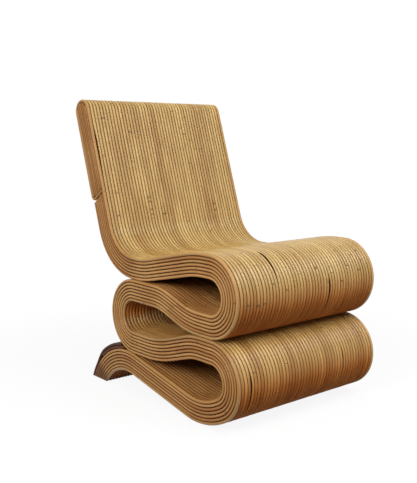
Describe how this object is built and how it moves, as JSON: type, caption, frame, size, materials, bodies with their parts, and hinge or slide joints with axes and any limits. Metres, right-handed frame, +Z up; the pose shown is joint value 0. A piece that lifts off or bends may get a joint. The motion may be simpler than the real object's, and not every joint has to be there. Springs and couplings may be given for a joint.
{
  "type": "rattan chair",
  "caption": "Armless serpentine chair of stacked rattan-pole courses bent into front rolls, a rear roll, a curved seat and a reclined back with a wrapped top.",
  "frame": {"origin": "on the floor, at the middle of the chair's width and depth", "axes": "+X to the sitter's left, +Y from the front of the seat to the back, +Z up"},
  "size_m": [0.5, 0.7224, 0.819],
  "materials": {
    "face_rattan": "satin clear coat",
    "core_rattan": "satin clear coat",
    "foot_rattan": "dark matt stain",
    "pin_wood": "bare"
  },
  "bodies": {
    "root": {"back_pin_left": "pin_wood", "back_pin_right": "pin_wood", "course_1_back": "face_rattan", "course_1_foot": "face_rattan", "course_1_front": "face_rattan", "course_1_rear": "face_rattan", "course_1_seat": "face_rattan", "course_2_back": "core_rattan", "course_2_foot": "core_rattan", "course_2_rear": "core_rattan", "course_2_seat": "core_rattan", "course_3_back": "core_rattan", "course_3_foot": "core_rattan", "course_3_rear": "core_rattan", "course_3_seat": "core_rattan", "course_4_back": "core_rattan", "course_4_foot": "core_rattan", "course_4_rear": "core_rattan", "course_4_seat": "core_rattan", "course_5_back": "core_rattan", "course_5_foot": "core_rattan", "course_5_rear": "core_rattan", "course_5_seat": "core_rattan", "course_6_back": "core_rattan", "course_6_foot": "core_rattan", "course_6_rear": "core_rattan", "course_6_seat": "core_rattan", "course_7_back": "core_rattan", "course_7_foot": "core_rattan", "course_7_lumbar": "core_rattan", "course_7_rear": "core_rattan", "course_7_seat": "core_rattan", "foot_cover": "foot_rattan", "seat_pin_left": "pin_wood", "seat_pin_right": "pin_wood"}
  },
  "joints": []
}
